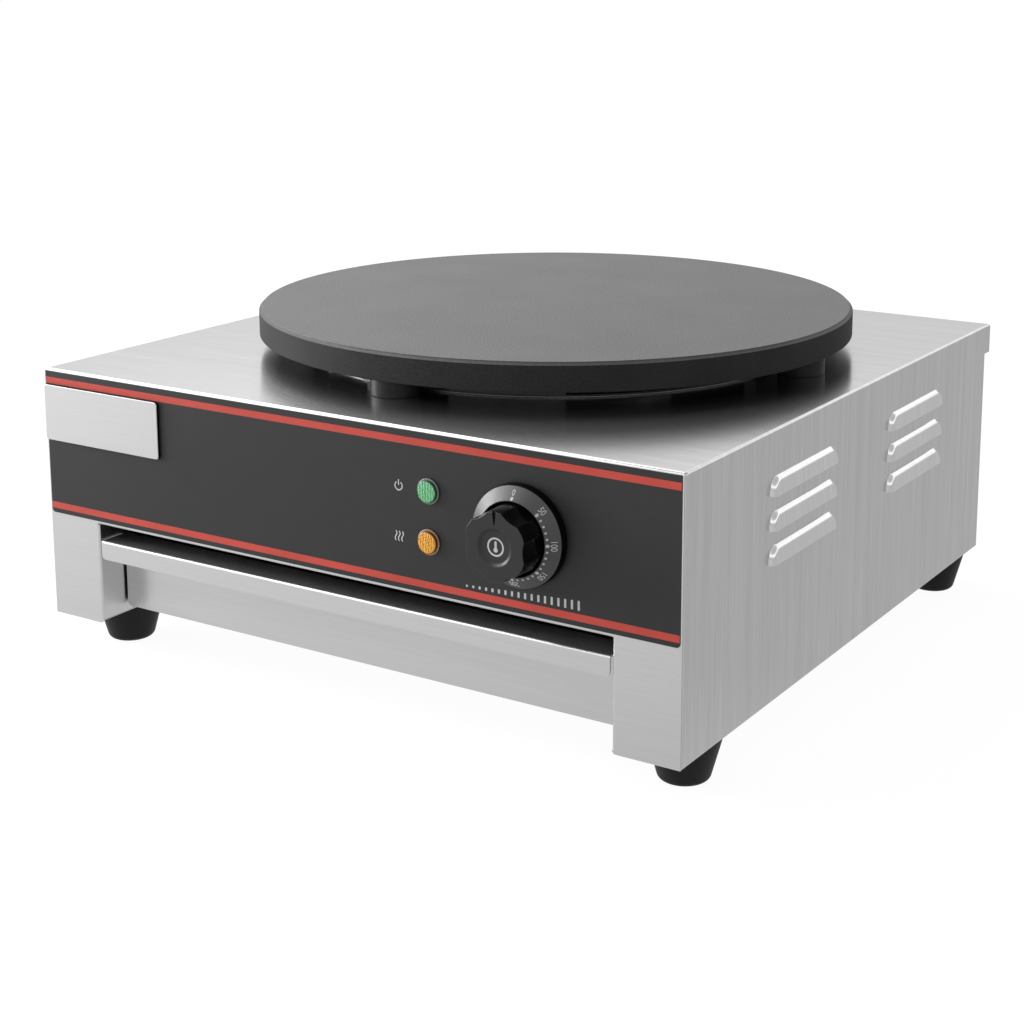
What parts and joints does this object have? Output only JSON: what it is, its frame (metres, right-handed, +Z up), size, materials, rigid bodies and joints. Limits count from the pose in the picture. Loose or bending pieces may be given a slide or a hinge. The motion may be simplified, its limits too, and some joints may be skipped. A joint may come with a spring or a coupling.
{
  "type": "electric crepe maker",
  "caption": "Countertop electric crepe maker: round cast-iron griddle on a folded stainless box with rubber feet, thermostat knob, pilot lamps and a pull-out drawer.",
  "frame": {"origin": "on the floor under the middle of the overall outline", "axes": "+Z up, +X to the right seen from the front, +Y from the control strip to the back"},
  "size_m": [0.4718, 0.5008, 0.2185],
  "materials": {
    "cover_steel": "brushed stainless, grain across the deck and down the sides",
    "panel_steel": "brushed stainless, grain along the front",
    "inner_steel": "plain cold-rolled stainless",
    "screw_steel": "bright plated screws and nuts",
    "overlay_film": "charcoal satin film with two red stripes",
    "badge_aluminium": "pale brushed aluminium, bare",
    "green_lens": "ribbed green lens",
    "amber_lens": "ribbed amber lens",
    "lamp_holder": "pale moulded holder",
    "dial_plastic": "fine-grained black with white marks",
    "knob_plastic": "satin face, gloss sides",
    "thermostat_plastic": "moulded phenolic",
    "copper_tube": "drawn copper",
    "griddle_iron": "sanded matt cooking face, darker rim",
    "guard_steel": "dull sheet steel",
    "mineral_wool": "pressed fibre",
    "reflector_aluminium": "bright",
    "element_sheath": "dark oxidised sheath",
    "gland_plastic": "black nylon",
    "terminal_plastic": "pale moulding",
    "brass_stud": "plain brass",
    "shaft_brass": "turned brass",
    "brown_lead": "brown sleeve",
    "blue_lead": "blue sleeve",
    "green_lead": "green sleeve",
    "foot_rubber": "black moulded rubber"
  },
  "bodies": {
    "casing": {"cover_shell": "cover_steel", "front_panel": "panel_steel", "rear_panel": "panel_steel", "rear_screws": "screw_steel", "drawer_bay": "inner_steel", "runner_left": "inner_steel", "runner_right": "inner_steel", "control_overlay": "overlay_film", "badge_plate": "badge_aluminium", "power_lamp_lens": "green_lens", "power_lamp_body": "lamp_holder", "heat_lamp_lens": "amber_lens", "heat_lamp_body": "lamp_holder", "dial_ring": "dial_plastic", "control_screws": "screw_steel", "thermostat_body": "thermostat_plastic", "thermostat_bulb": "copper_tube", "thermostat_capillary": "copper_tube", "bulb_clip": "inner_steel", "griddle_plate": "griddle_iron", "leg_bolts": "screw_steel", "guard_ring": "guard_steel", "heat_pan": "inner_steel", "pan_screws": "screw_steel", "pan_nuts": "screw_steel", "insulation_disc": "mineral_wool", "heat_reflector": "reflector_aluminium", "heating_element": "element_sheath", "element_clamps": "inner_steel", "clamp_nuts": "screw_steel", "cable_gland": "gland_plastic", "gland_nut": "gland_plastic", "terminal_block": "terminal_plastic", "earth_stud": "brass_stud", "earth_nut": "brass_stud", "live_lead": "brown_lead", "switched_lead": "brown_lead", "neutral_lead": "blue_lead", "earth_lead": "green_lead", "lamp_leads": "brown_lead", "foot_front_left": "foot_rubber", "foot_front_right": "foot_rubber", "foot_rear_left": "foot_rubber", "foot_rear_right": "foot_rubber", "foot_screws": "screw_steel", "foot_nuts": "screw_steel"},
    "drawer": {"drawer_front": "panel_steel", "drawer_tray": "inner_steel"},
    "knob": {"control_knob": "knob_plastic", "thermostat_shaft": "shaft_brass"}
  },
  "joints": [
    {"name": "drawer_slide", "type": "slide", "parent": "casing", "child": "drawer", "axis": [0, -1, 0], "range_m": [0, 0.298]},
    {"name": "knob_turn", "type": "hinge", "parent": "casing", "child": "knob", "pos_m": [0.132, -0.2231, 0.14], "axis": [0, 1, 0], "range_deg": [0, 270]}
  ]
}
